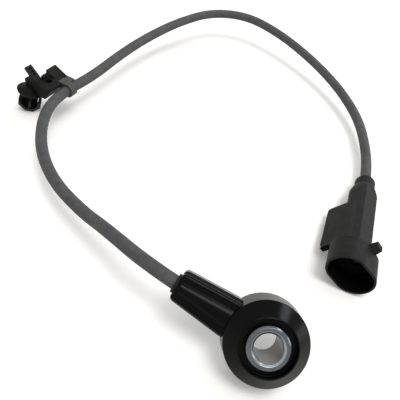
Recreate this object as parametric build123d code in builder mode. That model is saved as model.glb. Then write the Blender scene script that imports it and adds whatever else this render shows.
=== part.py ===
from build123d import *
import math
import os

# Engine knock sensor: a bolt-on head, a stiff lead with its mounting tie, and a two-way connector.
# Sizes in millimetres. Z = 0 is the table that the sensor lies on.

# Steel sleeve: the bore passes the bolt
bolt_hole_d = 8.4
sleeve_wall = 2.1
sleeve_chamfer = 0.5
hole_chamfer = 0.6
base_step = 0.2
base_thickness = 2.2

# Stack clamped on the sleeve, from the base up
stack_width = 3.5
stack_clearance = 0.05
insulator_thickness = 0.3
contact_thickness = 0.3
piezo_thickness = 2.0
mass_thickness = 3.2
spring_sheet = 0.5
spring_rise = 0.3
nut_thickness = 2.0

# Contact tabs, crimps and cores
tab_width = 2.2
tab_length = 5.5
tab_offset = 1.9
crimp_d = 1.9
crimp_length = 2.5
core_d = 1.3
core_pitch = 2.1
core_bend_radius = 3.0
wire_clearance = 0.03

# Moulded housing: ring, cone and tail
seat_proud = 0.3
back_wall = 3.05
rim_wall = 2.7
housing_round = 0.5
sleeve_proud = 0.6
recess_width = 1.9
recess_depth = 2.2
cone_lip = 0.3
cone_height = 4.4
cover_thickness = 0.8
mould_clearance = 0.05
tail_length = 17.85
tail_root_width = 12.6
tail_cheek = 1.9
tail_floor = 0.9
tail_cover = 0.5
flange_rise = 0.8
flange_step = 0.7
tail_corner = 1.5
flange_round = 0.5
tail_round = 1.0
crown_height = 0.8
crown_root_width = 7.0
crown_end_width = 3.6
lead_height = 5.0

# How the head lies: the bore's tilt, the turn of the whole head, the turn of the tail
bore_tilt = 40.9
head_turn = 11.4
tail_turn = 19.5
head_x = 8.36
head_y = 3.2

# Lead and the seals at its two ends
cable_d = 4.6
cable_in_tail = 4.0
seal_wall = 0.8
seal_depth = 2.0
seal_lip = 0.8
first_run = 14.0
last_run = 12.0

# Connector: the mouth, its slope and its roll on the table
mouth_x = 31.0
mouth_y = 37.2
connector_pitch = 2.8
connector_roll = 37.0
shroud_width = 19.6
shroud_height = 14.6
shroud_length = 10.4
shroud_wall = 0.75
shroud_floor = 1.5
shroud_round = 0.3
shroud_back = 1.0
body_width = 12.4
body_height = 8.4
body_chamfer = 2.3
shoulder_start = 40.0
shoulder_end = 51.0
shoulder_margin = 0.3
connector_length = 54.8
neck_wall = 1.15
neck_length = 9.0
chamber_width = 8.2
chamber_height = 3.8
chamber_depth = 14.5
fin_thickness = 2.3
fin_inset = 1.0
fin_drop = 9.9
fin_start = 11.0
fin_end = 33.6
fin_round = 1.6
ramp_width = 3.0
ramp_offset = 0.5
ramp_start = 9.0
ramp_end = 12.6
ramp_height = 9.9
ramp_slope_run = 1.4
blade_thickness = 0.8
blade_width = 2.8
blade_pitch = 5.0
blade_tip = 9.4
blade_end = 20.0
barrel_d = 2.2
barrel_length = 4.0
rear_seal_step = 0.6
rear_seal_lip = 1.2
rear_plug_depth = 3.0
cable_in_connector = 3.8

# Mounting tie: strap round the lead, head block and stub
tie_spot = 0.313
tie_turn = 2.4
strap_thickness = 0.8
strap_width = 3.4
strap_offset = -0.4
strap_clearance = 0.2
panel_width = 6.0
panel_offset = 0.9
panel_foot = 4.6
panel_left = 10.6
panel_rise = 6.4
block_left = 10.9
block_top = 3.8
block_bottom = -2.5
block_overhang = 0.9
block_foot = 5.3
block_back = -10.2
block_front = 1.0
block_round = 0.6
pocket_along = -5.2
pocket_left = 6.6
pocket_size = 2.4
pocket_depth = 1.4
stub_width = 3.5
stub_offset = -7.7
stub_reach = 15.9
stub_rise = 9.2
window_width = 1.6
window_length = 0.8
window_pitch = 1.4
window_count = 3

# Stud of the tie: arrowhead on the table, stem and umbrella
stud_along = -9.4
stud_left = 17.1
umbrella_along = -7.9
umbrella_left = 15.0
stem_d = 3.2
umbrella_d = 12.0
umbrella_level = 12.4
umbrella_drop = 1.8
umbrella_thickness = 0.9
arrow_turn = 35.0
arrow_width = 4.6
arrow_tip_width = 3.6
arrow_spread = 9.6
arrow_shoulder = 2.8
arrow_wing_top = 6.2
arrow_wall = 1.2

# Sleeve and stack: levels above the seat, and diameters from the bolt hole out
lower_insulator_level = base_thickness
lower_contact_level = lower_insulator_level + insulator_thickness
piezo_level = lower_contact_level + contact_thickness
upper_contact_level = piezo_level + piezo_thickness
upper_insulator_level = upper_contact_level + contact_thickness
mass_level = upper_insulator_level + insulator_thickness
spring_level = mass_level + mass_thickness
nut_level = spring_level + spring_sheet + spring_rise
nut_top = nut_level + nut_thickness
sleeve_d = bolt_hole_d + 2 * sleeve_wall
stack_hole_d = sleeve_d + 2 * stack_clearance
stack_d = sleeve_d + 2 * stack_width
base_d = stack_d + 2 * base_step
tab_reach = stack_d / 2 + tab_length

# Housing round the stack, and the tail round the lead's seal
cone_top = nut_top + cover_thickness + recess_depth
sleeve_height = cone_top + sleeve_proud
housing_rim_height = cone_top - cone_height
housing_back_d = base_d + 2 * (mould_clearance + back_wall)
housing_rim_d = stack_d + 2 * (mould_clearance + rim_wall)
recess_d = sleeve_d + 2 * recess_width
cone_top_d = recess_d + 2 * cone_lip
seal_d = cable_d + 2 * seal_wall
tail_root = housing_rim_d / 2
tail_reach = tail_root + tail_length
tail_end_width = seal_d + 2 * tail_cheek
tail_underside = lead_height - seal_d / 2 - tail_floor
flange_top = lead_height + flange_rise
tail_top = lead_height + seal_d / 2 + tail_cover

# Rear of the connector, from the lead out
rear_plug_d = cable_d + 2 * seal_wall
rear_seal_d = rear_plug_d + 2 * rear_seal_step
neck_d = rear_plug_d + 2 * neck_wall

os.makedirs("parts", exist_ok=True)


def save(piece, name):
    """Label a finished piece and write its STEP file."""
    piece.part.label = name
    export_step(piece.part, f"parts/{name}.step")


# Head frame: X along the tail, Z along the bore towards the bolt head
tilt = math.radians(bore_tilt)
bore_axis = Vector(0, -math.sin(tilt), math.cos(tilt)).rotate(Axis.Z, head_turn)
across = Vector(1, 0, 0).rotate(Axis.Z, head_turn)
tail_axis = (across * -1).rotate(Axis((0, 0, 0), bore_axis), -tail_turn)
rim_r = housing_back_d / 2 - housing_round
seat_drop = (seat_proud + housing_round) * math.cos(tilt)
seat_height = rim_r * math.sin(tilt) - seat_drop + housing_round
seat = Vector(head_x, head_y, seat_height)
head_plane = Plane(origin=seat, x_dir=tail_axis, z_dir=bore_axis)
section_plane = Plane(origin=seat, x_dir=tail_axis, z_dir=head_plane.y_dir * -1)
bore = Axis(seat, bore_axis)


# Steel sleeve with its seating flange
with BuildPart() as core_sleeve:
    with BuildSketch(head_plane):
        Circle(base_d / 2)
    extrude(amount=base_thickness)
    with BuildSketch(head_plane):
        Circle(sleeve_d / 2)
    extrude(amount=sleeve_height)
    top_face = core_sleeve.faces().sort_by(bore)[-1]
    chamfer(top_face.edges(), sleeve_chamfer)
    with BuildSketch(head_plane):
        Circle(bolt_hole_d / 2)
    extrude(amount=sleeve_height, mode=Mode.SUBTRACT)
    bore_rims = core_sleeve.edges().filter_by(GeomType.CIRCLE).group_by(SortBy.RADIUS)[0]
    chamfer(bore_rims, hole_chamfer)
save(core_sleeve, "core_sleeve")


def stack_ring(level, thickness):
    """Flat ring of the stack at a level above the seat."""
    with BuildPart() as ring:
        with BuildSketch(head_plane.offset(level)):
            Circle(stack_d / 2)
            Circle(stack_hole_d / 2, mode=Mode.SUBTRACT)
        extrude(amount=thickness)
    return ring


def contact_ring(level, side):
    """Contact disc of the stack with its tab, which reaches into the tail at one side."""
    with BuildPart() as contact:
        with BuildSketch(head_plane.offset(level)):
            Circle(stack_d / 2)
            with Locations((tab_reach / 2, side * tab_offset)):
                Rectangle(tab_reach, tab_width)
            Circle(stack_hole_d / 2, mode=Mode.SUBTRACT)
        extrude(amount=contact_thickness)
    return contact


lower_insulator = stack_ring(lower_insulator_level, insulator_thickness)
lower_contact = contact_ring(lower_contact_level, 1)
piezo_ring = stack_ring(piezo_level, piezo_thickness)
upper_contact = contact_ring(upper_contact_level, -1)
upper_insulator = stack_ring(upper_insulator_level, insulator_thickness)
seismic_mass = stack_ring(mass_level, mass_thickness)
save(lower_insulator, "lower_insulator")
save(lower_contact, "lower_contact")
save(piezo_ring, "piezo_ring")
save(upper_contact, "upper_contact")
save(upper_insulator, "upper_insulator")
save(seismic_mass, "seismic_mass")


# Disc spring: a shallow cone, its outer rim on the mass and its inner rim under the nut
with BuildPart() as disc_spring:
    with BuildSketch(section_plane):
        with BuildLine():
            Polyline(
                (stack_d / 2, spring_level),
                (stack_d / 2, spring_level + spring_sheet),
                (stack_hole_d / 2, nut_level),
                (stack_hole_d / 2, nut_level - spring_sheet),
                close=True,
            )
        make_face()
    revolve(axis=bore)
save(disc_spring, "disc_spring")


# Nut that clamps the stack
with BuildPart() as clamp_nut:
    with BuildSketch(head_plane.offset(nut_level)):
        RegularPolygon(stack_d / 2, 6)
        Circle(stack_hole_d / 2, mode=Mode.SUBTRACT)
    extrude(amount=nut_thickness)
save(clamp_nut, "clamp_nut")


# Places of the crimps and cores in the tail, one pair for each contact tab
cable_start = tail_reach - cable_in_tail
crimp_start = tab_reach - crimp_length
upper_crimp_height = upper_contact_level + contact_thickness + crimp_d / 2
lower_crimp_height = lower_contact_level + contact_thickness + crimp_d / 2
bend_start = tab_reach + 0.2 * (cable_start - tab_reach)
bend_end = cable_start - 0.2 * (cable_start - tab_reach)


def core_points(side, height):
    """Route of a core in the head frame, from inside its crimp to the end of the lead."""
    return [
        (crimp_start + crimp_length / 4, side * tab_offset, height),
        (bend_start, side * tab_offset, height),
        (bend_end, side * core_pitch / 2, lead_height),
        (cable_start, side * core_pitch / 2, lead_height),
    ]


def wire(points, bend_radius, diameter, plane):
    """Round wire along a route with rounded corners."""
    with BuildPart() as run:
        with BuildLine(plane) as path:
            FilletPolyline(*points, radius=bend_radius)
        with BuildSketch(Plane(origin=path.line @ 0, z_dir=path.line % 0)):
            Circle(diameter / 2)
        sweep()
    return run


def crimp(side, height):
    """Crimp barrel on the contact tab, open for its core."""
    with BuildPart() as barrel:
        middle = head_plane.from_local_coords((crimp_start, side * tab_offset, height))
        with BuildSketch(Plane(origin=middle, z_dir=tail_axis)):
            Circle(crimp_d / 2)
            Circle(core_d / 2 + wire_clearance, mode=Mode.SUBTRACT)
        extrude(amount=crimp_length)
    return barrel


signal_crimp = crimp(-1, upper_crimp_height)
ground_crimp = crimp(1, lower_crimp_height)
signal_route = core_points(-1, upper_crimp_height)
ground_route = core_points(1, lower_crimp_height)
signal_core = wire(signal_route, core_bend_radius, core_d, head_plane)
ground_core = wire(ground_route, core_bend_radius, core_d, head_plane)
save(signal_crimp, "signal_crimp")
save(ground_crimp, "ground_crimp")
save(signal_core, "signal_core")
save(ground_core, "ground_core")


def tail_outline(step):
    """Corners of the tail's plan, tapered towards its end, inset by a step at both sides."""
    root_half = tail_root_width / 2 - step
    end_half = tail_end_width / 2 - step
    upper_side = [(0, root_half), (tail_root, root_half), (tail_reach, end_half)]
    lower_side = [(tail_reach, -end_half), (tail_root, -root_half), (0, -root_half)]
    return upper_side + lower_side


# Tail: a wide flange, a narrower body on it and a wedge-shaped crown along the top
with BuildPart() as tail_form:
    with BuildSketch(head_plane.offset(tail_underside)) as flange_plan:
        with BuildLine():
            Polyline(*tail_outline(0), close=True)
        make_face()
        fillet(flange_plan.vertices().sort_by(Axis.X)[-2:], tail_corner)
    extrude(amount=flange_top - tail_underside)
    fillet(tail_form.faces().sort_by(bore)[-1].edges(), flange_round)
    with BuildSketch(head_plane.offset(tail_underside + flange_round)) as body_plan:
        with BuildLine():
            Polyline(*tail_outline(flange_step), close=True)
        make_face()
        fillet(body_plan.vertices().sort_by(Axis.X)[-2:], tail_corner - flange_step / 2)
    extrude(amount=tail_top - tail_underside - flange_round)
    fillet(tail_form.faces().sort_by(bore)[-1].edges(), tail_round)

crown_ends = [(tail_root / 2, crown_root_width), (tail_reach - tail_round, crown_end_width)]
crown_foot = -crown_height / 4
with BuildPart() as crown_form:
    for reach, width in crown_ends:
        middle = head_plane.from_local_coords((reach, 0, tail_top))
        with BuildSketch(Plane(origin=middle, x_dir=head_plane.y_dir, z_dir=tail_axis)):
            with BuildLine():
                ThreePointArc((-width / 2, crown_foot), (0, crown_height), (width / 2, crown_foot))
                Polyline(
                    (width / 2, crown_foot),
                    (width / 2, -tail_round),
                    (-width / 2, -tail_round),
                    (-width / 2, crown_foot),
                )
            make_face()
    loft()


# Housing: moulded round the stack and the end of the lead
housing_profile = [
    (0, seat_proud),
    (housing_back_d / 2, seat_proud),
    (housing_rim_d / 2, housing_rim_height),
    (cone_top_d / 2, cone_top),
    (0, cone_top),
]
stack_pocket_r = stack_d / 2 + mould_clearance
base_pocket_r = base_d / 2 + mould_clearance
sleeve_fit_r = sleeve_d / 2 + mould_clearance
cavity_profile = [
    (0, 0),
    (base_pocket_r, 0),
    (base_pocket_r, base_thickness + mould_clearance),
    (stack_pocket_r, base_thickness + mould_clearance),
    (stack_pocket_r, nut_top + mould_clearance),
    (sleeve_fit_r, nut_top + mould_clearance),
    (sleeve_fit_r, nut_top + cover_thickness),
    (recess_d / 2, nut_top + cover_thickness),
    (recess_d / 2, sleeve_height),
    (0, sleeve_height),
]
with BuildPart() as housing:
    with BuildSketch(section_plane) as ring_section:
        with BuildLine():
            Polyline(*housing_profile, close=True)
        make_face()
        outer_corners = ring_section.vertices().sort_by(Axis.X)[-3:]
        fillet(outer_corners, housing_round)
    revolve(axis=bore)
    add(tail_form.part)
    add(crown_form.part)
    with BuildSketch(section_plane):
        with BuildLine():
            Polyline(*cavity_profile, close=True)
        make_face()
    revolve(axis=bore, mode=Mode.SUBTRACT)
    for level, side in ((lower_contact_level, 1), (upper_contact_level, -1)):
        with BuildSketch(head_plane.offset(level - wire_clearance)):
            with Locations((tab_reach / 2, side * tab_offset)):
                Rectangle(tab_reach + 2 * wire_clearance, tab_width + 2 * wire_clearance)
        extrude(amount=contact_thickness + 2 * wire_clearance, mode=Mode.SUBTRACT)
    for side, height in ((-1, upper_crimp_height), (1, lower_crimp_height)):
        crimp_end = head_plane.from_local_coords((tab_reach + wire_clearance, side * tab_offset, height))
        with BuildSketch(Plane(origin=crimp_end, z_dir=tail_axis * -1)):
            Circle(crimp_d / 2 + wire_clearance)
        extrude(amount=crimp_length + 2 * wire_clearance, mode=Mode.SUBTRACT)
    core_channel_d = core_d + 2 * wire_clearance
    add(wire(signal_route, core_bend_radius, core_channel_d, head_plane).part, mode=Mode.SUBTRACT)
    add(wire(ground_route, core_bend_radius, core_channel_d, head_plane).part, mode=Mode.SUBTRACT)
    tail_end = head_plane.from_local_coords((tail_reach, 0, lead_height))
    end_plane = Plane(origin=tail_end, z_dir=tail_axis * -1)
    with BuildSketch(end_plane):
        Circle(cable_d / 2 + mould_clearance)
    extrude(amount=cable_in_tail, mode=Mode.SUBTRACT)
    with BuildSketch(end_plane):
        Circle(seal_d / 2 + mould_clearance)
    extrude(amount=seal_depth, mode=Mode.SUBTRACT)
save(housing, "housing")


# Seal round the lead at the end of the tail
with BuildPart() as cable_seal:
    with BuildSketch(end_plane.offset(-seal_lip)):
        Circle(seal_d / 2)
        Circle(cable_d / 2 + mould_clearance, mode=Mode.SUBTRACT)
    extrude(amount=seal_lip + seal_depth)
save(cable_seal, "cable_seal")


# Connector frame: Z out of the mouth, X along the mouth's long side
slope = math.radians(connector_pitch)
roll = math.radians(connector_roll)
mouth_half_gap = (shroud_width - shroud_height) / 2
lip_drop = (mouth_half_gap * math.sin(roll) + shroud_height / 2) * math.cos(slope)
mouth_height = lip_drop + shroud_length * math.sin(slope)
mouth = Vector(mouth_x, mouth_y, mouth_height)
mouth_axis = Vector(0, -math.cos(slope), math.sin(slope))
level_side = Vector(1, 0, 0)
long_side = level_side.rotate(Axis((0, 0, 0), mouth_axis), -connector_roll)
mouth_plane = Plane(origin=mouth, x_dir=long_side, z_dir=mouth_axis)


# Lead: tail to connector, clear of the table between the tie and the two ends
cable_out = head_plane.from_local_coords((cable_start, 0, lead_height))
cable_in = mouth_plane.from_local_coords((0, 0, cable_in_connector - connector_length))
route = [
    cable_out,
    cable_out + tail_axis * first_run,
    (-51.0, 12.0, 16.0),
    (-63.5, 17.0, 13.0),
    (-81.5, 26.0, 11.5),
    (-96.5, 39.5, 12.0),
    (-106.5, 57.5, 13.0),
    (-107.5, 72.5, 13.5),
    (-103.5, 90.5, 13.5),
    (-101.0, 114.0, 15.0),
    (-97.0, 136.5, 16.0),
    (-89.5, 161.5, 17.0),
    (-78.0, 184.0, 17.5),
    (-58.5, 194.5, 17.0),
    (-37.0, 189.0, 15.5),
    (-14.5, 176.5, 13.0),
    (6.0, 159.5, 10.5),
    (21.5, 138.0, 8.5),
    (28.5, 116.5, 7.0),
    cable_in + mouth_axis * -last_run,
    cable_in,
]


def bend_radii(points):
    """Largest radius at each point of a route that its two runs leave room for."""
    radii = []
    for before, corner, after in zip(points, points[1:], points[2:]):
        run_in = Vector(*corner) - Vector(*before)
        run_out = Vector(*after) - Vector(*corner)
        half_turn = math.radians(run_in.get_angle(run_out)) / 2
        radii.append(0.45 * min(run_in.length, run_out.length) / math.tan(half_turn))
    return radii


with BuildPart() as cable:
    with BuildLine() as cable_path:
        FilletPolyline(*route, radius=bend_radii(route))
    lead = cable_path.wire()
    with BuildSketch(Plane(origin=lead @ 0, z_dir=lead % 0)):
        Circle(cable_d / 2)
    sweep()
save(cable, "cable")
cable_length = lead.length
section = math.pi * cable_d**2 / 4
print("lead radii", [round(radius, 1) for radius in bend_radii(route)])
print("lead length", round(cable_length, 1), "volume over section times length",
      round(cable.part.volume / (section * cable_length), 5))


# Blades of the connector, each with the barrel that takes its core
def blade(side):
    """Flat blade in the socket and its crimp barrel in the body."""
    with BuildPart() as terminal:
        with BuildSketch(mouth_plane.offset(-blade_end)):
            with Locations((side * blade_pitch / 2, 0)):
                Rectangle(blade_thickness, blade_width)
        extrude(amount=blade_end - blade_tip)
        tip_edges = terminal.faces().sort_by(Axis(mouth, mouth_axis))[-1].edges()
        chamfer(tip_edges.sort_by(SortBy.LENGTH)[-2:], blade_thickness / 4)
        with BuildSketch(mouth_plane.offset(-blade_end - barrel_length)):
            with Locations((side * blade_pitch / 2, 0)):
                Circle(barrel_d / 2)
                Circle(core_d / 2 + wire_clearance, mode=Mode.SUBTRACT)
        extrude(amount=barrel_length)
    return terminal


def rear_core_points(side):
    """Route of a core in the connector frame, from its barrel to the end of the lead."""
    cable_end = connector_length - cable_in_connector
    barrel_end = blade_end + barrel_length
    spread = 0.2 * (cable_end - barrel_end)
    return [
        (side * blade_pitch / 2, 0, -blade_end - barrel_length / 4),
        (side * blade_pitch / 2, 0, -barrel_end - spread),
        (side * core_pitch / 2, 0, spread - cable_end),
        (side * core_pitch / 2, 0, -cable_end),
    ]


signal_blade = blade(-1)
ground_blade = blade(1)
signal_core_rear = wire(rear_core_points(-1), core_bend_radius, core_d, mouth_plane)
ground_core_rear = wire(rear_core_points(1), core_bend_radius, core_d, mouth_plane)
save(signal_blade, "signal_blade")
save(ground_blade, "ground_blade")
save(signal_core_rear, "signal_core_rear")
save(ground_core_rear, "ground_core_rear")


# Connector shell: shroud, faceted body with a curved shoulder, neck, fin and locking ramp
side_plane = Plane(origin=mouth, x_dir=mouth_plane.y_dir, z_dir=long_side)
turn_axis = Axis(mouth, mouth_axis)
with BuildPart() as connector_shell:
    with BuildSketch(mouth_plane.offset(-shoulder_end)) as facets:
        Rectangle(body_width, body_height)
        chamfer(facets.vertices(), body_chamfer)
    extrude(amount=shoulder_end - shroud_length + shroud_floor)
    with BuildSketch(side_plane):
        with BuildLine():
            shoulder_top = (body_width / 2 + shoulder_margin, -shoulder_start)
            neck_start = (neck_d / 2 - shoulder_margin, -shoulder_end)
            Polyline(
                (0, -shoulder_end),
                (0, 0),
                (body_width, 0),
                (body_width, -shoulder_start),
                shoulder_top,
            )
            Spline(shoulder_top, neck_start, tangents=((0, -1), (-0.6, -1)))
            Line(neck_start, (0, -shoulder_end))
        make_face()
    revolve(axis=turn_axis, mode=Mode.INTERSECT)
    with BuildSketch(mouth_plane.offset(-connector_length)):
        Circle(neck_d / 2)
    extrude(amount=neck_length)
    with BuildSketch(mouth_plane):
        SlotOverall(shroud_width, shroud_height)
    extrude(amount=-shroud_length)
    for step in (0, shroud_back):
        with BuildSketch(mouth_plane.offset(-shroud_length - step)):
            SlotOverall(shroud_width - 2 * step, shroud_height - 2 * step)
    loft()
    shroud_ends = connector_shell.faces().sort_by(turn_axis)
    fillet(shroud_ends[-1].edges(), shroud_round)
    with BuildSketch(side_plane.offset(-body_width / 2 + fin_inset - fin_thickness)) as fin_side:
        with BuildLine():
            Polyline(
                (body_height / 4, -fin_start),
                (-fin_drop, -fin_start),
                (-fin_drop, -fin_end),
                (body_height / 4, -fin_end),
                close=True,
            )
        make_face()
        fillet(fin_side.vertices().group_by(Axis.X)[0], fin_round)
    extrude(amount=fin_thickness)
    with BuildSketch(side_plane.offset(ramp_offset - ramp_width / 2)):
        with BuildLine():
            Polyline(
                (0, -ramp_start - ramp_slope_run),
                (shroud_height / 2 - shroud_wall / 2, -ramp_start),
                (ramp_height, -ramp_start - ramp_slope_run),
                (ramp_height, -ramp_end),
                (0, -ramp_end),
                close=True,
            )
        make_face()
    extrude(amount=ramp_width)
    with BuildSketch(mouth_plane):
        SlotOverall(shroud_width - 2 * shroud_wall, shroud_height - 2 * shroud_wall)
    extrude(amount=shroud_floor - shroud_length, mode=Mode.SUBTRACT)
    with BuildSketch(mouth_plane) as chamber:
        Rectangle(chamber_width, chamber_height)
        fillet(chamber.vertices(), chamber_height / 4)
    extrude(amount=-chamber_depth, mode=Mode.SUBTRACT)
    for side in (-1, 1):
        with BuildSketch(mouth_plane):
            with Locations((side * blade_pitch / 2, 0)):
                Rectangle(blade_thickness + 2 * wire_clearance, blade_width + 2 * wire_clearance)
        extrude(amount=-blade_end, mode=Mode.SUBTRACT)
        with BuildSketch(mouth_plane.offset(-blade_end)):
            with Locations((side * blade_pitch / 2, 0)):
                Circle(barrel_d / 2 + wire_clearance)
        extrude(amount=-barrel_length - wire_clearance, mode=Mode.SUBTRACT)
        channel = wire(rear_core_points(side), core_bend_radius, core_channel_d, mouth_plane)
        add(channel.part, mode=Mode.SUBTRACT)
    with BuildSketch(mouth_plane.offset(-connector_length)):
        Circle(cable_d / 2 + mould_clearance)
    extrude(amount=cable_in_connector, mode=Mode.SUBTRACT)
    with BuildSketch(mouth_plane.offset(-connector_length)):
        Circle(rear_plug_d / 2 + mould_clearance)
    extrude(amount=rear_plug_depth, mode=Mode.SUBTRACT)
save(connector_shell, "connector_shell")


# Seal at the rear of the connector
with BuildPart() as rear_seal:
    with BuildSketch(mouth_plane.offset(-connector_length)):
        Circle(rear_seal_d / 2)
    extrude(amount=-rear_seal_lip)
    with BuildSketch(mouth_plane.offset(-connector_length)):
        Circle(rear_plug_d / 2)
    extrude(amount=rear_plug_depth)
    with BuildSketch(mouth_plane.offset(-connector_length - rear_seal_lip)):
        Circle(cable_d / 2 + mould_clearance)
    extrude(amount=rear_seal_lip + rear_plug_depth, mode=Mode.SUBTRACT)
save(rear_seal, "rear_seal")


# Tie frame: X along the lead, Y to the left of it, Z up, at the lead's middle
lead_middle = lead @ tie_spot
lead_heading = lead % tie_spot
lead_along = Vector(lead_heading.X, lead_heading.Y, 0).normalized().rotate(Axis.Z, tie_turn)
tie_plane = Plane(origin=lead_middle, x_dir=lead_along, z_dir=(0, 0, 1))
strap_plane = Plane(origin=lead_middle, x_dir=tie_plane.y_dir, z_dir=lead_along)
floor = -lead_middle.Z
loop_inner_r = cable_d / 2 + strap_clearance
loop_outer_r = loop_inner_r + strap_thickness

# Stub frame: X down the stub from its tip
stub_foot = (block_left - 2 * strap_thickness, block_top - strap_thickness / 2)
stub_tip = (stub_reach - strap_thickness, stub_rise)
foot_point = strap_plane.from_local_coords((*stub_foot, stub_offset))
tip_point = strap_plane.from_local_coords((*stub_tip, stub_offset))
down_stub = (foot_point - tip_point).normalized()
window_plane = Plane(origin=tip_point, x_dir=down_stub, z_dir=lead_along.cross(down_stub))

# Stud frame: Z up the stud from the arrowhead's tip, which stands on the table
arrow_tip = tie_plane.from_local_coords((stud_along, stud_left, floor))
umbrella_middle = tie_plane.from_local_coords((umbrella_along, umbrella_left, floor + umbrella_level))
stud_axis = (umbrella_middle - arrow_tip).normalized()
arrow_normal = tie_plane.y_dir.rotate(Axis.Z, arrow_turn).cross(stud_axis).normalized()
arrow_across = stud_axis.cross(arrow_normal)
tip_lift = (abs(arrow_across.Z) * arrow_tip_width + abs(arrow_normal.Z) * arrow_width) / 2
stud_foot = arrow_tip + Vector(0, 0, tip_lift)
arrow_plane = Plane(origin=stud_foot, x_dir=arrow_across, z_dir=arrow_normal)
umbrella_rim = umbrella_level - umbrella_drop
link_plane = Plane(origin=umbrella_middle, x_dir=tie_plane.y_dir, z_dir=lead_along)
link_top = block_top - block_round - floor - umbrella_level
link_end = block_left - umbrella_left - block_round

with BuildPart() as mounting_tie:
    with BuildSketch(strap_plane.offset(strap_offset - strap_width / 2)):
        Circle(loop_outer_r)
        Circle(loop_inner_r, mode=Mode.SUBTRACT)
    extrude(amount=strap_width)
    with BuildSketch(strap_plane.offset(panel_offset - panel_width / 2)):
        with BuildLine():
            Polyline(
                (0, loop_outer_r),
                (panel_foot, loop_outer_r),
                (panel_left, panel_rise),
                (block_left, block_top),
                (block_left - strap_thickness, block_top - strap_thickness),
                (panel_left - strap_thickness / 2, panel_rise - strap_thickness),
                (panel_foot + strap_thickness / 3, loop_inner_r),
                (0, loop_inner_r),
                close=True,
            )
        make_face()
    extrude(amount=panel_width)
    with BuildSketch(strap_plane.offset(block_back)) as block_section:
        with BuildLine():
            Polyline(
                (block_overhang, block_top),
                (block_left, block_top),
                (block_left, block_bottom),
                (block_foot, block_bottom),
                close=True,
            )
        make_face()
        fillet(block_section.vertices(), block_round)
    extrude(amount=block_front - block_back)
    with BuildSketch(tie_plane.offset(block_top)):
        with Locations((pocket_along, pocket_left)):
            Rectangle(pocket_size, pocket_size)
    extrude(amount=-pocket_depth, mode=Mode.SUBTRACT)
    with BuildSketch(strap_plane.offset(stub_offset - stub_width / 2)):
        with BuildLine():
            Polyline(
                stub_foot,
                stub_tip,
                (stub_reach, stub_rise - strap_thickness),
                (block_left, block_top - 2 * strap_thickness),
                close=True,
            )
        make_face()
    extrude(amount=stub_width)
    with BuildSketch(window_plane):
        for step in range(1, window_count + 1):
            with Locations((step * window_pitch, 0)):
                Rectangle(window_length, window_width)
    extrude(amount=2 * strap_thickness, both=True, mode=Mode.SUBTRACT)
    with BuildSketch(arrow_plane):
        with BuildLine():
            Polyline(
                (0, umbrella_level),
                (stem_d / 2, umbrella_level),
                (umbrella_d / 2, umbrella_rim),
                (umbrella_d / 2 - umbrella_thickness / 3, umbrella_rim - umbrella_thickness),
                (stem_d / 2, umbrella_level - umbrella_thickness),
                (stem_d / 2, arrow_wall / 2),
                (0, arrow_wall / 2),
                close=True,
            )
        make_face()
    revolve(axis=Axis(stud_foot, stud_axis))
    with BuildSketch(arrow_plane.offset(-arrow_width / 2)):
        for side in (-1, 1):
            with BuildLine():
                Polyline(
                    (0, 0),
                    (side * arrow_tip_width / 2, 0),
                    (side * arrow_spread / 2, arrow_shoulder),
                    (side * arrow_spread / 2, arrow_wing_top),
                    (side * (arrow_spread / 2 - arrow_wall), arrow_wing_top),
                    (side * (arrow_spread / 2 - arrow_wall), arrow_shoulder + arrow_wall / 2),
                    (side * arrow_tip_width / 2, arrow_wall),
                    (0, arrow_wall),
                    close=True,
                )
            make_face()
    extrude(amount=arrow_width)
    with BuildSketch(link_plane.offset(-stem_d / 2)):
        with BuildLine():
            Polyline(
                (stem_d / 2, -umbrella_thickness),
                (stem_d / 2, link_top),
                (link_end, link_top),
                (link_end, -umbrella_thickness),
                close=True,
            )
        make_face()
    extrude(amount=stem_d)
save(mounting_tie, "mounting_tie")

print("head seat", seat, "tail end", tail_end, "mouth", mouth, "stud foot", stud_foot)
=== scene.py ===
import math

import bpy
from mathutils import Matrix, Vector


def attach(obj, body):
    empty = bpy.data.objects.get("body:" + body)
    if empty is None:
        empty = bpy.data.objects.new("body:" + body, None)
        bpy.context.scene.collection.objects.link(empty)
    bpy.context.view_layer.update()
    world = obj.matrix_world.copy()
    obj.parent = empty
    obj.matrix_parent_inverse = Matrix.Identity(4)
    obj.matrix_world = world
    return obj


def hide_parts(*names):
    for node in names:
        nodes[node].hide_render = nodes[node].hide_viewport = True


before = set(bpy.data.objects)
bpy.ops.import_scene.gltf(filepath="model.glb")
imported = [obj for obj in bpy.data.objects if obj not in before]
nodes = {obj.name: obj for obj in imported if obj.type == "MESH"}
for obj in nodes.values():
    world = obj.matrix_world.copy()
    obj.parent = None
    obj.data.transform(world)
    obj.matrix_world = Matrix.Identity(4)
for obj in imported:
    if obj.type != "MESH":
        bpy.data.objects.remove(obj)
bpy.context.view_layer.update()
bpy.ops.object.select_all(action="DESELECT")
print("frame loaded:", len(nodes), "nodes")

# Camera at the photograph's angle
cameraSetup = {
    "place": (-0.00263, -0.06473, 0.12971),
    "turn": (42.66, -7.57, 21.74),
    "lens": 38.7,
    "sensor": 36,
    "nearest": 0.005,
}


def addCamera(setup):
    turn = [math.radians(angle) for angle in setup["turn"]]
    bpy.ops.object.camera_add(location=setup["place"], rotation=turn)
    camera = bpy.context.object
    camera.data.lens = setup["lens"]
    camera.data.sensor_width = setup["sensor"]
    camera.data.clip_start = setup["nearest"]
    bpy.context.scene.camera = camera


addCamera(cameraSetup)
print("camera placed")


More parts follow.
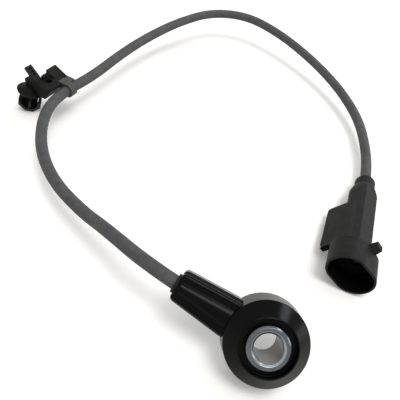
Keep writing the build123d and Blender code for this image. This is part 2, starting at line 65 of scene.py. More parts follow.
# Shader maths: a socket that can stand in an expression
class Signal:
    def __init__(self, network, socket):
        self.network = network
        self.socket = socket

    def maths(self, operation, first, second=0.0):
        return self.network.add("ShaderNodeMath", {"operation": operation}, {0: first, 1: second})

    def __add__(self, other):
        return self.maths("ADD", self, other)

    def __radd__(self, other):
        return self.maths("ADD", other, self)

    def __sub__(self, other):
        return self.maths("SUBTRACT", self, other)

    def __rsub__(self, other):
        return self.maths("SUBTRACT", other, self)

    def __mul__(self, other):
        return self.maths("MULTIPLY", self, other)

    def __rmul__(self, other):
        return self.maths("MULTIPLY", other, self)

    def __truediv__(self, other):
        return self.maths("DIVIDE", self, other)

    def __rtruediv__(self, other):
        return self.maths("DIVIDE", other, self)

    def __pow__(self, other):
        return self.maths("POWER", self, other)

    def __rpow__(self, other):
        return self.maths("POWER", other, self)

    def __neg__(self):
        return 0 - self

    def __abs__(self):
        return self.maths("ABSOLUTE", self)

    def most(self, other):
        return self.maths("MAXIMUM", self, other)

    def sine(self):
        return self.maths("SINE", self)


# A tree of shader nodes, added one by one; colours are given as red, green and blue
class Network:
    def __init__(self, tree):
        self.tree = tree

    def feed(self, socket, value):
        if isinstance(value, Signal):
            self.tree.links.new(value.socket, socket)
        elif socket.type == "RGBA":
            socket.default_value = (*value, 1)
        else:
            socket.default_value = value

    def add(self, kind, settings=None, inputs=None, output=0):
        node = self.tree.nodes.new(kind)
        for key, value in (settings or {}).items():
            if key == "stops":
                self.setStops(node.color_ramp.elements, value)
            else:
                setattr(node, key, value)
        for key, value in (inputs or {}).items():
            self.feed(node.inputs[key], value)
        return Signal(self, node.outputs[output])

    def setStops(self, elements, stops):
        while len(elements) < len(stops):
            elements.new(0.5)
        for element, (position, grey) in zip(elements, stops):
            element.position = position
            element.color = (grey, grey, grey, 1)

    def place(self, move=(0, 0, 0), scale=(1, 1, 1)):
        spot = self.add("ShaderNodeTexCoord", output="Object")
        sizes = {"Vector": spot, "Location": move, "Scale": scale}
        return self.add("ShaderNodeMapping", {"vector_type": "POINT"}, sizes)

    # Coordinates in one of the frames below
    def local(self, own):
        turn = tuple(frameTurn(own).to_euler())
        spot = self.add("ShaderNodeTexCoord", output="Object")
        sizes = {"Vector": spot, "Location": own["place"], "Rotation": turn}
        return self.add("ShaderNodeMapping", {"vector_type": "TEXTURE"}, sizes)

    def along(self, spot, axis):
        return self.add("ShaderNodeSeparateXYZ", {}, {0: spot}, output=axis)

    # Distance from the local Z axis
    def radius(self, spot):
        flat = self.add("ShaderNodeVectorMath", {"operation": "MULTIPLY"}, {0: spot, 1: (1, 1, 0)})
        return self.add("ShaderNodeVectorMath", {"operation": "LENGTH"}, {0: flat}, output="Value")

    # Normal with rounded edges, and how near an edge a point is
    def rounded(self, radius):
        return self.add("ShaderNodeBevel", {"samples": 8}, {"Radius": radius})

    def edge(self, rounded, gain):
        own = self.add("ShaderNodeNewGeometry", output="Normal")
        both = {0: rounded, 1: own}
        flat = self.add("ShaderNodeVectorMath", {"operation": "DOT_PRODUCT"}, both, output="Value")
        return self.add("ShaderNodeClamp", {}, {0: (1 - flat) * gain})

    def noise(self, where, scale, detail=3.0, rough=0.5):
        sizes = {"Vector": where, "Scale": scale, "Detail": detail, "Roughness": rough}
        return self.add("ShaderNodeTexNoise", {"noise_dimensions": "3D"}, sizes)

    def ramp(self, amount, stops):
        return self.add("ShaderNodeValToRGB", {"stops": stops}, {"Fac": amount})

    # Mask that turns from 0 to 1 where a length in metres turns positive
    def past(self, length, steep=5000, full=0.4):
        return self.ramp(length * steep, [(0.0, 0.0), (full, 1.0)])

    def blend(self, amount, first, second):
        sides = {"Factor": amount, 6: first, 7: second}
        return self.add("ShaderNodeMix", {"data_type": "RGBA"}, sides, output=2)

    def bump(self, height, distance, strength=1.0, under=None):
        sizes = {"Height": height, "Distance": distance, "Strength": strength}
        if under is not None:
            sizes["Normal"] = under
        return self.add("ShaderNodeBump", {}, sizes)

    # 1 for the rays that see the plain background, 0 for those that light the object
    def seen(self):
        camera = self.add("ShaderNodeLightPath", output="Is Camera Ray")
        glossy = self.add("ShaderNodeLightPath", output="Is Glossy Ray")
        through = self.add("ShaderNodeLightPath", output="Is Transmission Ray")
        return camera.most(glossy).most(through)


# A finish is one material: its network and its shader
class Finish(Network):
    def __init__(self, name):
        self.material = bpy.data.materials.new(name)
        self.material.use_nodes = True
        super().__init__(self.material.node_tree)
        self.shader = self.tree.nodes["Principled BSDF"]

    def set(self, **sockets):
        for name, value in sockets.items():
            self.feed(self.shader.inputs[name.replace("_", " ")], value)

    def coat(self, *pieces):
        for piece in pieces:
            piece.data.materials.clear()
            piece.data.materials.append(self.material)


# Frames of the head, the connector, the tie, its stub and its stud
headFrame = {
    "place": (0.00836, 0.0032, 0.008145),
    "x": (-0.973915, 0.061011, 0.218557),
    "y": (-0.186391, -0.764421, -0.617186),
    "z": (0.129414, -0.641824, 0.755853),
}
plugFrame = {
    "place": (0.031, 0.0372, 0.009302),
    "x": (0.798636, -0.029399, -0.601097),
    "y": (0.601815, 0.039013, 0.797682),
    "z": (0, -0.998806, 0.048850),
}
tieFrame = {
    "place": (-0.106579, 0.076226, 0.013489),
    "x": (0.114318, 0.993444, 0),
    "y": (-0.993444, 0.114318, 0),
    "z": (0, 0, 1),
}
stubFrame = {
    "place": (-0.122460, 0.070303, 0.022689),
    "x": (0.702471, -0.080835, -0.707107),
    "y": (-0.114318, -0.993444, 0),
    "z": (-0.702471, 0.080835, -0.707107),
}
studFrame = {
    "place": (-0.124641, 0.068843, 0.000371),
    "x": (-0.861096, -0.465834, 0.203745),
    "y": (-0.476171, 0.879350, -0.001953),
    "z": (0.178254, 0.098699, 0.979022),
}


def frameTurn(own):
    return Matrix([own[axis] for axis in ("x", "y", "z")]).transposed()


# Modelling by hand: pick faces or corners by their place, then work on them
modelling = {"facing": 0.9, "bevelSteps": 2, "bevelAngle": 40, "smoothAngle": 35}


def choose(piece):
    bpy.ops.object.select_all(action="DESELECT")
    piece.select_set(True)
    bpy.context.view_layer.objects.active = piece


def pick(piece, kind, test):
    choose(piece)
    bpy.ops.object.mode_set(mode="EDIT")
    bpy.ops.mesh.select_mode(type=kind)
    bpy.ops.mesh.select_all(action="DESELECT")
    bpy.ops.object.mode_set(mode="OBJECT")
    if kind == "FACE":
        for face in piece.data.polygons:
            face.select = test(face.center, face.normal)
    else:
        for corner in piece.data.vertices:
            corner.select = test(corner.co)
    bpy.ops.object.mode_set(mode="EDIT")


def facesUp(middle, normal):
    return normal.z > modelling["facing"]


def leave():
    bpy.ops.object.mode_set(mode="OBJECT")


def block(name, low, high):
    bpy.ops.object.select_all(action="DESELECT")
    middle = [(first + second) / 2 for first, second in zip(low, high)]
    size = [second - first for first, second in zip(low, high)]
    bpy.ops.mesh.primitive_cube_add(size=1, location=middle)
    piece = bpy.context.object
    piece.name = name
    piece.scale = size
    bpy.ops.object.transform_apply(location=True, rotation=True, scale=True)
    return piece


def joined(pieces, name):
    bpy.ops.object.select_all(action="DESELECT")
    for piece in pieces:
        piece.select_set(True)
    bpy.context.view_layer.objects.active = pieces[0]
    bpy.ops.object.join()
    pieces[0].name = name
    return pieces[0]


def modified(piece, kind, **settings):
    choose(piece)
    change = piece.modifiers.new(kind.lower(), kind)
    for key, value in settings.items():
        setattr(change, key, value)
    bpy.ops.object.modifier_apply(modifier=change.name)


# Bevelled, put in its frame and given its body
def settled(piece, own, edge=0.0):
    if edge:
        steps, angle = modelling["bevelSteps"], math.radians(modelling["bevelAngle"])
        modified(piece, "BEVEL", width=edge, segments=steps, limit_method="ANGLE", angle_limit=angle)
    choose(piece)
    piece.matrix_world = Matrix.Translation(own["place"]) @ frameTurn(own).to_4x4()
    bpy.ops.object.transform_apply(location=True, rotation=True, scale=True)
    bpy.ops.object.shade_smooth_by_angle(angle=math.radians(modelling["smoothAngle"]))
    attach(piece, "root")
    return piece


# Lead: its control points are the route of the CAD lead
leadSetup = {
    "diameter": 0.0046,
    "length": 0.413,
    "stepsAlong": 16,
    "stepsRound": 6,
    "exit": (-0.0206, 0.00185, 0.01857),
    "route": [
        (-0.01670, 0.00160, 0.01770),
        (-0.03034, 0.00246, 0.02076),
        (-0.0510, 0.0120, 0.0160),
        (-0.0635, 0.0170, 0.0130),
        (-0.0815, 0.0260, 0.0115),
        (-0.0965, 0.0395, 0.0120),
        (-0.1065, 0.0575, 0.0130),
        (-0.1075, 0.0725, 0.0135),
        (-0.1035, 0.0905, 0.0135),
        (-0.1010, 0.1140, 0.0150),
        (-0.0970, 0.1365, 0.0160),
        (-0.0895, 0.1615, 0.0170),
        (-0.0780, 0.1840, 0.0175),
        (-0.0585, 0.1945, 0.0170),
        (-0.0370, 0.1890, 0.0155),
        (-0.0145, 0.1765, 0.0130),
        (0.0060, 0.1595, 0.0105),
        (0.0215, 0.1380, 0.0085),
        (0.0285, 0.1165, 0.0070),
        (0.0310, 0.10012, 0.00622),
        (0.0310, 0.08814, 0.00681),
    ],
}


def addLead(setup):
    line = bpy.data.curves.new("lead", "CURVE")
    line.dimensions = "3D"
    line.resolution_u = setup["stepsAlong"]
    line.bevel_depth = 1  # the points' radius gives the thickness
    line.bevel_resolution = setup["stepsRound"]
    spline = line.splines.new("NURBS")
    spline.points.add(len(setup["route"]) - 1)
    for point, place in zip(spline.points, setup["route"]):
        point.co = (*place, 1)
        point.radius = setup["diameter"] / 2
    spline.order_u = 3
    spline.use_endpoint_u = True
    lead = bpy.data.objects.new("lead", line)
    bpy.context.collection.objects.link(lead)
    return lead


lead = addLead(leadSetup)
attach(lead, "root")
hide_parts("cable")
print("lead laid")


# Ratchet teeth of the tie, in the step between its stub and its panel
rackSetup = {
    "from": -0.0061,
    "to": -0.0021,
    "near": 0.0077,
    "far": 0.0108,
    "foot": 0.0036,
    "footHeight": 0.0006,
    "teeth": 4,
    "before": 0.3,  # part of a pitch in front of each tooth
    "width": 0.00055,
    "inset": 0.0002,
    "sunkTo": 0.0004,
    "rise": 0.0018,
    "lean": 0.00022,
    "taper": (0.6, 0.9, 1),
    "edge": 0.00008,
}


def addRack(setup):
    foot = (setup["from"], setup["near"], setup["foot"])
    parts = [block("rackFoot", foot, (setup["to"], setup["far"], setup["foot"] + setup["footHeight"]))]
    pitch = (setup["to"] - setup["from"]) / setup["teeth"]
    for step in range(setup["teeth"]):
        start = setup["from"] + (step + setup["before"]) * pitch
        low = (start, setup["near"] + setup["inset"], setup["foot"] + setup["sunkTo"])
        high = (start + setup["width"], setup["far"] - setup["inset"], setup["foot"] + setup["rise"])
        tooth = block("tooth", low, high)
        pick(tooth, "FACE", facesUp)
        bpy.ops.transform.translate(value=(setup["lean"], 0, 0))
        bpy.ops.transform.resize(value=setup["taper"])
        leave()
        parts.append(tooth)
    return settled(joined(parts, "tieRack"), tieFrame, setup["edge"])


# Plate behind the windows of the stub
backSetup = {
    "from": 0.0009,
    "to": 0.0048,
    "half": 0.00085,
    "top": 0.00070,
    "bottom": 0.00100,
    "rim": 0.00025,
    "dish": 0.00008,
    "edge": 0.00004,
}


def addBack(setup):
    low = (setup["from"], -setup["half"], setup["top"])
    plate = block("stubBack", low, (setup["to"], setup["half"], setup["bottom"]))
    pick(plate, "FACE", lambda middle, normal: facesUp(middle, -normal))
    bpy.ops.mesh.inset(thickness=setup["rim"], depth=-setup["dish"])
    leave()
    return settled(plate, stubFrame, setup["edge"])


# Spreader between the wings of the arrowhead, in a near-black finish that is painted shade; its levels
# are heights and half widths
coreSetup = {
    "levels": [(0.0006, 0.0012), (0.0030, 0.0031), (0.0085, 0.0034), (0.0106, 0.0036)],
    "halfDepth": 0.0021,
    "start": 0.0002,
    "rim": 0.0005,
    "hollow": 0.0006,
    "edge": 0.00010,
}


def addSpreader(setup):
    level, half = setup["levels"][0]
    top = level + setup["start"]
    core = block("studSpreader", (-half, -setup["halfDepth"], level), (half, setup["halfDepth"], top))
    for level, wider in setup["levels"][1:]:
        pick(core, "FACE", facesUp)
        bpy.ops.mesh.extrude_region_move(TRANSFORM_OT_translate={"value": (0, 0, level - top)})
        bpy.ops.transform.resize(value=(wider / half, 1, 1))
        leave()
        top, half = level, wider
    for side in (-1, 1):
        pick(core, "FACE", lambda middle, normal: normal.y * side > modelling["facing"])
        bpy.ops.mesh.inset(thickness=setup["rim"], use_boundary=True)
        bpy.ops.transform.translate(value=(0, -side * setup["hollow"], 0))
        leave()
    return settled(core, studFrame, setup["edge"])


# Near-black lining over the inner wall of the connector's shroud: a painted-shade sheet, the real wall
# being the shell's own plastic
wallSetup = {
    "radius": 0.00653,
    "halfGap": 0.0025,  # from the axis to each round end's middle
    "from": -0.00035,
    "to": -0.00882,
    "thickness": 0.00008,
    "corners": 64,
}


def addShadeLining(setup):
    bpy.ops.object.select_all(action="DESELECT")
    mouth = (0, 0, setup["from"])
    bpy.ops.mesh.primitive_circle_add(vertices=setup["corners"], radius=setup["radius"], location=mouth)
    wall = bpy.context.object
    wall.name = "socketShadeLining"
    bpy.ops.object.transform_apply(location=True, rotation=True, scale=True)
    for side in (-1, 1):
        pick(wall, "VERT", lambda corner: corner.x * side > 0.00001)  # off the middle line
        bpy.ops.transform.translate(value=(side * setup["halfGap"], 0, 0))
        leave()
    pick(wall, "VERT", lambda corner: True)
    depth = setup["to"] - setup["from"]
    bpy.ops.mesh.extrude_region_move(TRANSFORM_OT_translate={"value": (0, 0, depth)})
    bpy.ops.mesh.select_all(action="SELECT")
    bpy.ops.mesh.normals_make_consistent(inside=True)
    leave()
    modified(wall, "SOLIDIFY", thickness=setup["thickness"], offset=1)
    return settled(wall, plugFrame)


# Lugs on the lip of the connector's rear seal
lugSetup = {
    "count": 14,
    "radius": 0.0031,
    "size": (0.0008, 0.0007),
    "from": -0.0560,
    "to": -0.0564,
    "sunk": 0.0002,
    "edge": 0.00008,
}


def addLugs(setup):
    parts = []
    wide, tall = setup["size"]
    for step in range(setup["count"]):
        low = (setup["radius"] - wide / 2, -tall / 2, setup["to"])
        lug = block("lug", low, (setup["radius"] + wide / 2, tall / 2, setup["from"] + setup["sunk"]))
        lug.rotation_euler = (0, 0, 2 * math.pi * step / setup["count"])
        bpy.ops.object.transform_apply(location=True, rotation=True, scale=True)
        parts.append(lug)
    return settled(joined(parts, "sealLugs"), plugFrame, setup["edge"])


# Pocket in the end of the connector's fin; its near-black finish is painted shade
pocketSetup = {
    "low": (-0.00738, -0.00978, -0.01104),
    "high": (-0.00532, -0.0066, -0.0107),
    "wall": 0.0003,
    "deep": 0.0003,
    "edge": 0.00005,
}


def addPocket(setup):
    pocket = block("finPocket", setup["low"], setup["high"])
    pick(pocket, "FACE", facesUp)
    bpy.ops.mesh.inset(thickness=setup["wall"])
    bpy.ops.mesh.extrude_region_move(TRANSFORM_OT_translate={"value": (0, 0, -setup["deep"])})
    leave()
    return settled(pocket, plugFrame, setup["edge"])


tieRack = addRack(rackSetup)
stubBack = addBack(backSetup)
studSpreader = addSpreader(coreSetup)
socketShadeLining = addShadeLining(wallSetup)
sealLugs = addLugs(lugSetup)
finPocket = addPocket(pocketSetup)
print("small pieces made")


# Finishes
def mouldedBlack():
    look = {
        "dark": (0.0006, 0.0007, 0.0006),
        "light": (0.0024, 0.0024, 0.0025),
        "edge": (0.014, 0.014, 0.015),
        "partingLine": 0.0062,
        "rounding": 0.00028,
        "rough": 0.16,
        "specular": 0.07,
        "depth": 0.00005,
        "strength": 0.45,
    }
    finish = Finish("mouldedBlack")
    spot = finish.local(headFrame)
    grain = finish.noise(spot, 3600, 4)
    orange = finish.noise(spot, 900, 2)
    cloud = finish.noise(spot, 170, 4)
    scuff = finish.ramp(finish.noise(spot, 520, 6, 0.65), [(0.56, 0.0), (0.72, 1.0)])
    rounded = finish.rounded(look["rounding"])
    edge = finish.edge(rounded, gain=2.4)
    shade = finish.blend(cloud, look["dark"], look["light"])
    shade = finish.blend(edge * 0.6, shade, look["edge"])
    seam = 1 - finish.past(abs(finish.along(spot, "Z") - look["partingLine"]), steep=4000, full=0.5)
    rough = look["rough"] + 0.12 * cloud + 0.08 * scuff - 0.04 * edge
    finish.set(Base_Color=shade, Roughness=rough, Specular_IOR_Level=look["specular"])
    relief = grain * 0.35 + orange * 0.65 + seam * 0.8
    finish.set(Normal=finish.bump(relief, look["depth"], look["strength"], rounded))
    return finish


# Mask of the connector's socket, between its floor and its rim; it carries the painted shade inside the
# socket
def insideSocket(finish, spot):
    limits = {"slack": 0.0001, "floor": -0.0093, "rim": -0.0002}
    aside = (abs(finish.along(spot, "X")) - wallSetup["halfGap"]).most(0)
    up = finish.along(spot, "Y")
    off = (aside * aside + up * up) ** 0.5
    deep = finish.along(spot, "Z")
    within = finish.past(wallSetup["radius"] + limits["slack"] - off)
    return within * finish.past(deep - limits["floor"]) * finish.past(limits["rim"] - deep)


def plugBlack():
    look = {
        "dark": (0.0060, 0.0059, 0.0056),
        "light": (0.0170, 0.0167, 0.0160),
        "edge": (0.034, 0.034, 0.033),
        # painted shade inside the socket
        "inside": (0.0008, 0.0008, 0.0008),
        "rounding": 0.00022,
        "rough": 0.47,
        "specular": 0.12,
        "depth": 0.00009,
        "strength": 0.60,
    }
    finish = Finish("plugBlack")
    spot = finish.local(plugFrame)
    spark = finish.noise(spot, 2600, 3, 0.6)
    cloud = finish.noise(spot, 210, 4)
    flow = finish.noise(finish.place(scale=(1, 0.16, 1)), 900, 3)
    mottle = finish.ramp(finish.noise(spot, 240, 5, 0.6), [(0.34, 0.0), (0.66, 1.0)])
    rounded = finish.rounded(look["rounding"])
    edge = finish.edge(rounded, gain=2.2)
    inside = insideSocket(finish, spot)
    shade = finish.blend(0.4 * cloud + 0.6 * mottle, look["dark"], look["light"])
    shade = finish.blend(edge * 0.55, shade, look["edge"])
    # Painted shade: the inside of the socket is darkened to near black
    shade = finish.blend(inside, shade, look["inside"])
    rough = look["rough"] + 0.14 * cloud + 0.06 * flow + 0.30 * inside
    finish.set(Base_Color=shade, Roughness=rough, Specular_IOR_Level=look["specular"])
    relief = spark * 0.7 + flow * 0.3
    finish.set(Normal=finish.bump(relief, look["depth"], look["strength"], rounded))
    return finish


def zincSteel():
    look = {
        "dark": (0.085, 0.094, 0.101),
        "light": (0.140, 0.152, 0.162),
        "bore": (0.055, 0.053, 0.044),
        "chamferHighlight": (0.30, 0.32, 0.335),
        "edge": (0.42, 0.45, 0.47),
        "boreRadius": 0.00428,
        "chamferRadius": 0.00492,
        "turning": 0.00017,  # pitch of the lathe's marks
        "wobble": 0.00006,
        "rounding": 0.00020,
        "rough": 0.17,
        "depth": 0.000016,
        "strength": 0.30,
    }
    finish = Finish("zincSteel")
    spot = finish.local(headFrame)
    radius = finish.radius(spot)
    cloud = finish.noise(spot, 420, 4)
    grain = finish.noise(spot, 5200, 3)
    streaks = finish.noise(spot, 1300, 2)
    drawn = finish.noise(finish.place(), 2600, 3)
    wobble = finish.noise(spot, 150, 2) * look["wobble"]
    turned = ((radius + wobble) * (2 * math.pi / look["turning"])).sine()
    inBore = finish.past(look["boreRadius"] - radius)
    onChamfer = finish.past(look["chamferRadius"] - radius, full=0.5) * (1 - inBore)
    rounded = finish.rounded(look["rounding"])
    edge = finish.edge(rounded, gain=2.0)
    shade = finish.blend(cloud, look["dark"], look["light"])
    # Painted shade: darker colour inside the bore
    shade = finish.blend(inBore, shade, look["bore"])
    # Painted highlight: the bore's inner chamfer is given a lighter colour
    shade = finish.blend(onChamfer, shade, look["chamferHighlight"])
    shade = finish.blend(edge * 0.6, shade, look["edge"])
    rough = look["rough"] + 0.04 * cloud + 0.03 * drawn + 0.06 * onChamfer
    finish.set(Base_Color=shade, Metallic=1.0, Roughness=rough)
    relief = turned * (1 - inBore) * (1 - onChamfer) * 0.10 + grain * 0.15 + streaks * inBore * 0.4
    finish.set(Normal=finish.bump(relief, look["depth"], look["strength"], rounded))
    return finish


def jacket():
    look = {
        "dark": (0.050, 0.049, 0.053),
        "light": (0.096, 0.095, 0.095),
        "dust": (0.15, 0.15, 0.15),
        "rough": 0.60,
        "specular": 0.22,
        "depth": 0.00012,
        "strength": 0.5,
    }
    finish = Finish("jacket")
    spot = finish.place()
    grain = finish.noise(spot, 2400, 4)
    ripple = finish.noise(spot, 420, 2)
    cloud = finish.noise(spot, 70, 4)
    mark = finish.ramp(finish.noise(spot, 640, 7, 0.7), [(0.60, 0.0), (0.74, 1.0)])
    mottle = finish.ramp(finish.noise(spot, 310, 5, 0.6), [(0.36, 0.0), (0.64, 1.0)])
    shade = finish.blend(0.45 * cloud + 0.55 * mottle, look["dark"], look["light"])
    shade = finish.blend(mark * 0.3, shade, look["dust"])
    rough = look["rough"] + 0.12 * cloud + 0.10 * mark
    finish.set(Base_Color=shade, Roughness=rough, Specular_IOR_Level=look["specular"])
    finish.set(Normal=finish.bump(grain * 0.4 + ripple * 0.6, look["depth"], look["strength"]))
    return finish


def tiePlastic():
    look = {
        "dark": (0.0016, 0.0017, 0.0015),
        "light": (0.0058, 0.0058, 0.0053),
        "strap": (0.080, 0.080, 0.077),
        "paintedTopLight": (0.0200, 0.0196, 0.0186),
        "tip": (0.062, 0.062, 0.065),
        "edge": (0.05, 0.049, 0.047),
        "rounding": 0.00018,
        "rough": 0.42,
        "specular": 0.08,
        "depth": 0.00005,
        "strength": 0.5,
    }
    finish = Finish("tiePlastic")
    spot = finish.local(tieFrame)
    grain = finish.noise(spot, 3000, 4)
    dimple = finish.noise(spot, 1000, 2)
    cloud = finish.noise(spot, 260, 3)
    # Places along the tie's axes, in centimetres
    along, aside, height = [finish.along(spot, axis) * 100 for axis in ("X", "Y", "Z")]
    beside = finish.ramp(aside + 0.05 * cloud, [(0.36, 1.0), (0.42, 0.0)])
    strap = beside * finish.ramp(along + 0.5, [(0.22, 0.0), (0.25, 1.0)])
    litTop = finish.ramp(height + 0.05 * cloud, [(0.34, 0.0), (0.62, 1.0)]) * (1 - strap)
    lower = finish.ramp(-height, [(0.80, 0.0), (0.96, 1.0)])
    rounded = finish.rounded(look["rounding"])
    edge = finish.edge(rounded, gain=2.2)
    shade = finish.blend(cloud, look["dark"], look["light"])
    # Painted sheen: the strap around the lead is lighter grey
    shade = finish.blend(strap, shade, look["strap"])
    # Painted light: the tie's upper surfaces are lighter the higher they stand
    shade = finish.blend(litTop * (0.5 + 0.5 * cloud), shade, look["paintedTopLight"])
    # Painted light: the low arrowhead tip is lighter grey
    shade = finish.blend(lower * (0.5 + 0.5 * cloud), shade, look["tip"])
    shade = finish.blend(edge * 0.5, shade, look["edge"])
    rough = look["rough"] + 0.16 * cloud
    finish.set(Base_Color=shade, Roughness=rough, Specular_IOR_Level=look["specular"])
    relief = grain * 0.5 + dimple * 0.5
    finish.set(Normal=finish.bump(relief, look["depth"], look["strength"], rounded))
    return finish


def shadedBlack():
    look = {
        "dark": (0.0012, 0.0012, 0.0012),
        "light": (0.0030, 0.0030, 0.0030),
        "rough": 0.85,
        "specular": 0.05,
        "depth": 0.00006,
        "strength": 0.5,
    }
    finish = Finish("shadedBlack")
    spot = finish.place()
    grain = finish.noise(spot, 2600, 4)
    cloud = finish.noise(spot, 300, 3)
    shade = finish.blend(cloud, look["dark"], look["light"])
    rough = look["rough"] + 0.1 * cloud
    finish.set(Base_Color=shade, Roughness=rough, Specular_IOR_Level=look["specular"])
    finish.set(Normal=finish.bump(grain, look["depth"], look["strength"]))
    return finish


def softRubber():
    look = {
        "dark": (0.0060, 0.0060, 0.0062),
        "light": (0.0140, 0.0138, 0.0140),
        "rounding": 0.00015,
        "rough": 0.68,
        "specular": 0.18,
        "depth": 0.00007,
        "strength": 0.7,
    }
    finish = Finish("softRubber")
    spot = finish.place()
    grain = finish.noise(spot, 3800, 5, 0.6)
    bloom = finish.noise(spot, 380, 4)
    shade = finish.blend(bloom, look["dark"], look["light"])
    rough = look["rough"] + 0.16 * bloom
    finish.set(Base_Color=shade, Roughness=rough, Specular_IOR_Level=look["specular"])
    rounded = finish.rounded(look["rounding"])
    finish.set(Normal=finish.bump(grain, look["depth"], look["strength"], rounded))
    return finish


# Contacts, crimps, blades and spring
metalLooks = {
    "contactBrass": {
        "dark": (0.55, 0.40, 0.18),
        "light": (0.70, 0.54, 0.28),
        "rough": 0.25,
        "on": ["lower_contact", "upper_contact", "signal_crimp", "ground_crimp"],
    },
    "shadeDarkBlade": {
        # blades darkened as painted shade, for their place deep in the socket
        "dark": (0.040, 0.039, 0.035),
        "light": (0.075, 0.072, 0.064),
        "rough": 0.45,
        "on": ["signal_blade", "ground_blade"],
    },
    "springSteel": {
        "dark": (0.28, 0.29, 0.31),
        "light": (0.42, 0.43, 0.45),
        "rough": 0.3,
        "on": ["disc_spring"],
    },
}


def stampedMetal(name, look):
    finish = Finish(name)
    spot = finish.place()
    cloud = finish.noise(spot, 700, 4)
    rolled = finish.noise(finish.place(scale=(1, 0.12, 1)), 4200, 3)
    rounded = finish.rounded(radius=0.00008)
    shade = finish.blend(cloud, look["dark"], look["light"])
    rough = look["rough"] + 0.15 * cloud + 0.08 * rolled
    finish.set(Base_Color=shade, Metallic=1.0, Roughness=rough)
    relief = cloud * 0.4 + rolled * 0.6
    finish.set(Normal=finish.bump(relief, distance=0.00002, strength=0.4, under=rounded))
    return finish


# Ceramic ring, insulators and the cores of the lead
solidLooks = {
    "piezoCeramic": {
        "dark": (0.42, 0.38, 0.28),
        "light": (0.52, 0.48, 0.36),
        "rough": 0.5,
        "on": ["piezo_ring"],
    },
    "insulatingFilm": {
        "dark": (0.45, 0.20, 0.05),
        "light": (0.55, 0.28, 0.08),
        "rough": 0.3,
        "on": ["lower_insulator", "upper_insulator"],
    },
    "coreInsulation": {
        "dark": (0.06, 0.06, 0.07),
        "light": (0.11, 0.11, 0.12),
        "rough": 0.45,
        "on": ["signal_core", "ground_core", "signal_core_rear", "ground_core_rear"],
    },
}


def castSolid(name, look):
    finish = Finish(name)
    spot = finish.place()
    cloud = finish.noise(spot, 900, 4)
    speck = finish.noise(spot, 4200, 4, 0.6)
    rounded = finish.rounded(radius=0.00008)
    shade = finish.blend(cloud * 0.7 + speck * 0.3, look["dark"], look["light"])
    finish.set(Base_Color=shade, Roughness=look["rough"] + 0.15 * cloud)
    relief = cloud * 0.5 + speck * 0.5
    finish.set(Normal=finish.bump(relief, distance=0.00003, strength=0.4, under=rounded))
    return finish


mouldedBlack().coat(nodes["housing"])
plugBlack().coat(nodes["connector_shell"])
zincSteel().coat(nodes["core_sleeve"], nodes["seismic_mass"], nodes["clamp_nut"])
jacket().coat(lead)
tiePlastic().coat(nodes["mounting_tie"], tieRack, stubBack)
# Painted shade: near-black finish on the socket lining, the fin pocket and the arrowhead's spreader
shadedBlack().coat(socketShadeLining, finPocket, studSpreader)
softRubber().coat(nodes["cable_seal"], nodes["rear_seal"], sealLugs)
for name, look in metalLooks.items():
    stampedMetal(name, look).coat(*[nodes[part] for part in look["on"]])
for name, look in solidLooks.items():
    castSolid(name, look).coat(*[nodes[part] for part in look["on"]])
print("finishes on")

# Pieces that sit on the lead: the tie and the connector
withPieces = ["mounting_tie", "connector_shell", "rear_seal", "signal_blade", "ground_blade"]
withPieces += ["signal_core_rear", "ground_core_rear"]
withPieces += [tieRack, stubBack, studSpreader, socketShadeLining, sealLugs, finPocket]

# Floor, world and lamps
floorSetup = {
    "size": 6.0,
    "middle": (-0.04, 0.09, 0),
    "paper": (0.95, 0.93, 0.90),
    "rough": 0.9,
    "lift": 0.16,  # glow that only the camera and mirrors see
    "fadeFrom": 0.20,  # distance at which the paper starts to fade to white
    "fadeTo": 0.50,
}
worldSetup = {"level": 0.40, "shown": 1.0}
white = (1, 1, 1)


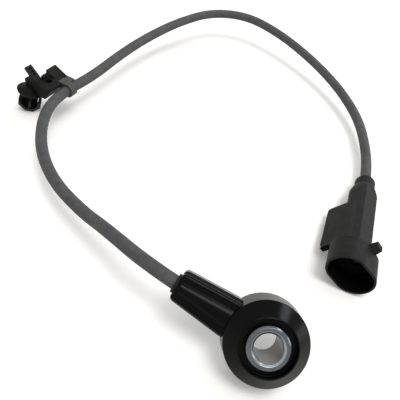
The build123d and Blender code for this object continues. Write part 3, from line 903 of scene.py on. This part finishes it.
def addFloor(setup):
    bpy.ops.mesh.primitive_plane_add(size=setup["size"], location=setup["middle"])
    floor = bpy.context.object
    floor.name = "floor"
    finish = Finish("paper")
    finish.set(Base_Color=setup["paper"], Roughness=setup["rough"], Specular_IOR_Level=0.0)
    plain = Signal(finish, finish.shader.outputs[0])
    glow = finish.add("ShaderNodeEmission", {}, {"Color": white, "Strength": setup["lift"]})
    bright = finish.add("ShaderNodeEmission", {}, {"Color": white, "Strength": 1.0})
    lifted = finish.add("ShaderNodeAddShader", {}, {0: plain, 1: glow})
    away = finish.radius(finish.place(move=[-part for part in setup["middle"]]))
    faded = (away - setup["fadeFrom"]) / (setup["fadeTo"] - setup["fadeFrom"])
    far = finish.ramp(faded, [(0.0, 0.0), (1.0, 1.0)])
    shown = finish.add("ShaderNodeMixShader", {}, {0: far, 1: lifted, 2: bright})
    mixed = finish.add("ShaderNodeMixShader", {}, {0: finish.seen(), 1: plain, 2: shown})
    finish.feed(finish.tree.nodes["Material Output"].inputs["Surface"], mixed)
    finish.coat(floor)


def addWorld(setup):
    world = bpy.data.worlds.new("room")
    bpy.context.scene.world = world
    world.use_nodes = True
    room = Network(world.node_tree)
    strength = setup["level"] + (setup["shown"] - setup["level"]) * room.seen()
    background = room.tree.nodes["Background"]
    room.feed(background.inputs["Color"], white)
    room.feed(background.inputs["Strength"], strength)


lampSetup = {
    "wideLamp": {
        "from": (0.04, -0.06, 1),
        "aim": floorSetup["middle"],
        "distance": 1.0,
        "size": 0.95,
        "power": 3.5,
        "tint": (1, 1, 1),
    },
    "topLamp": {
        "from": (0.26, -0.18, 0.95),
        "aim": floorSetup["middle"],
        "distance": 1.0,
        "size": 0.38,
        "power": 3.3,
        "tint": (1, 1, 1),
    },
    "backLamp": {
        "from": (0.37, 0.74, 0.59),
        "aim": headFrame["place"],
        "distance": 1.0,
        "size": 0.30,
        "power": 1.9,
        "tint": (0.88, 0.94, 1),
    },
    "sideLamp": {
        "from": (0.89, 0.39, 0.18),
        "aim": headFrame["place"],
        "distance": 0.9,
        "size": 0.34,
        "power": 0.9,
        "tint": (0.96, 0.98, 1),
    },
}


def addLamp(name, setup):
    ray = Vector(setup["from"]).normalized()
    spot = Vector(setup["aim"]) + ray * setup["distance"]
    bpy.ops.object.light_add(type="AREA", location=spot)
    lamp = bpy.context.object
    lamp.name = name
    lamp.data.shape = "DISK"
    lamp.data.size = setup["size"]
    lamp.data.energy = setup["power"]
    lamp.data.color = setup["tint"]
    lamp.rotation_euler = ray.to_track_quat("Z", "Y").to_euler()


addFloor(floorSetup)
addWorld(worldSetup)
for name, setup in lampSetup.items():
    addLamp(name, setup)
bpy.context.scene.view_settings.view_transform = "Standard"
print("stage set")

bpy.context.view_layer.update()
